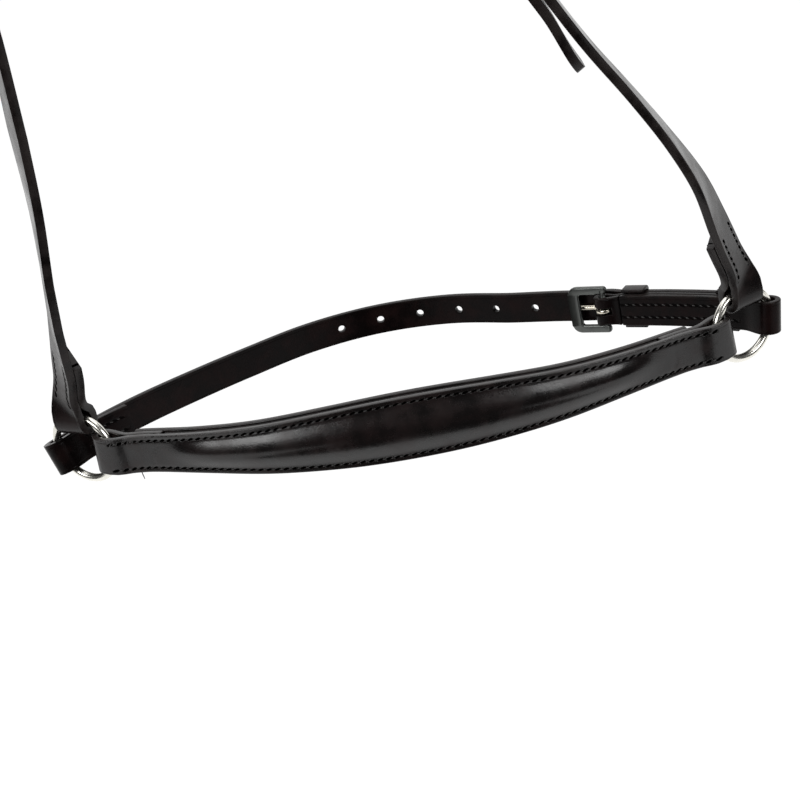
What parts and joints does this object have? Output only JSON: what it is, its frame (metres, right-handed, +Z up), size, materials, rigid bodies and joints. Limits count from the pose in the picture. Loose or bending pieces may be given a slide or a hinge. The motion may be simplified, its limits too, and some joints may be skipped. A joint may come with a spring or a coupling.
{
  "type": "drop noseband",
  "caption": "Leather drop noseband: padded nosepiece and buckled chin strap between wire rings, hung from a headpiece that buckles on the near cheek.",
  "frame": {"origin": "inner face of the headpiece where it rests on the poll, at the middle of its flat crown", "axes": "+Z up, +X towards the near side (the horse's left), -Y towards the front, where the nosepiece lies"},
  "size_m": [0.3057, 0.1876, 0.4041],
  "materials": {
    "bridle_leather": "waxed, near-black brown",
    "lining_leather": "matt",
    "nickel": "polished, warm",
    "dark_nickel": "dark, satin",
    "tongue_metal": "polished"
  },
  "bodies": {
    "noseband": {"nosepiece_face": "bridle_leather", "nosepiece_filler": "lining_leather", "nosepiece_backing": "lining_leather", "chin_billet_strap": "bridle_leather", "chin_buckle_strap": "bridle_leather", "chin_front_keeper": "bridle_leather", "chin_rear_keeper": "bridle_leather", "headpiece_strap": "bridle_leather", "near_cheek_strap": "bridle_leather", "cheek_fixed_keeper": "bridle_leather"},
    "off_ring": {"off_ring": "nickel"},
    "near_ring": {"near_ring": "nickel"},
    "chin_buckle": {"chin_buckle_frame": "dark_nickel"},
    "chin_tongue": {"chin_buckle_tongue": "tongue_metal"},
    "cheek_buckle": {"cheek_buckle_frame": "dark_nickel"},
    "cheek_tongue": {"cheek_buckle_tongue": "tongue_metal"},
    "cheek_runner": {"cheek_runner": "bridle_leather"}
  },
  "joints": [
    {"name": "off_ring_turn", "type": "hinge", "parent": "noseband", "child": "off_ring", "pos_m": [-0.085, 0.085, -0.385], "axis": [0.4695, 0.8829, 0], "continuous": true},
    {"name": "near_ring_turn", "type": "hinge", "parent": "noseband", "child": "near_ring", "pos_m": [0.185, 0.085, -0.385], "axis": [0.4695, -0.8829, 0], "continuous": true},
    {"name": "chin_buckle_swing", "type": "hinge", "parent": "noseband", "child": "chin_buckle", "pos_m": [0.13811, 0.13279, -0.3869], "axis": [-0.0293, 0.0172, 0.9994], "range_deg": [0, 60]},
    {"name": "chin_tongue_swing", "type": "hinge", "parent": "noseband", "child": "chin_tongue", "pos_m": [0.13811, 0.13279, -0.3869], "axis": [-0.0293, 0.0172, 0.9994], "range_deg": [0, 60]},
    {"name": "cheek_buckle_swing", "type": "hinge", "parent": "noseband", "child": "cheek_buckle", "pos_m": [0.08565, 0.03272, -0.16956], "axis": [-0.0082, 0.9754, 0.2204], "range_deg": [0, 60]},
    {"name": "cheek_tongue_swing", "type": "hinge", "parent": "noseband", "child": "cheek_tongue", "pos_m": [0.08565, 0.03272, -0.16956], "axis": [-0.0082, 0.9754, 0.2204], "range_deg": [0, 60]},
    {"name": "cheek_runner_slide", "type": "slide", "parent": "noseband", "child": "cheek_runner", "axis": [0.4561, 0.1861, -0.8702], "range_m": [-0.003, 0.005]}
  ],
  "couplings": [
    {"joint": "chin_tongue_swing", "follows": "chin_buckle_swing", "ratio": 1},
    {"joint": "cheek_tongue_swing", "follows": "cheek_buckle_swing", "ratio": 1}
  ]
}
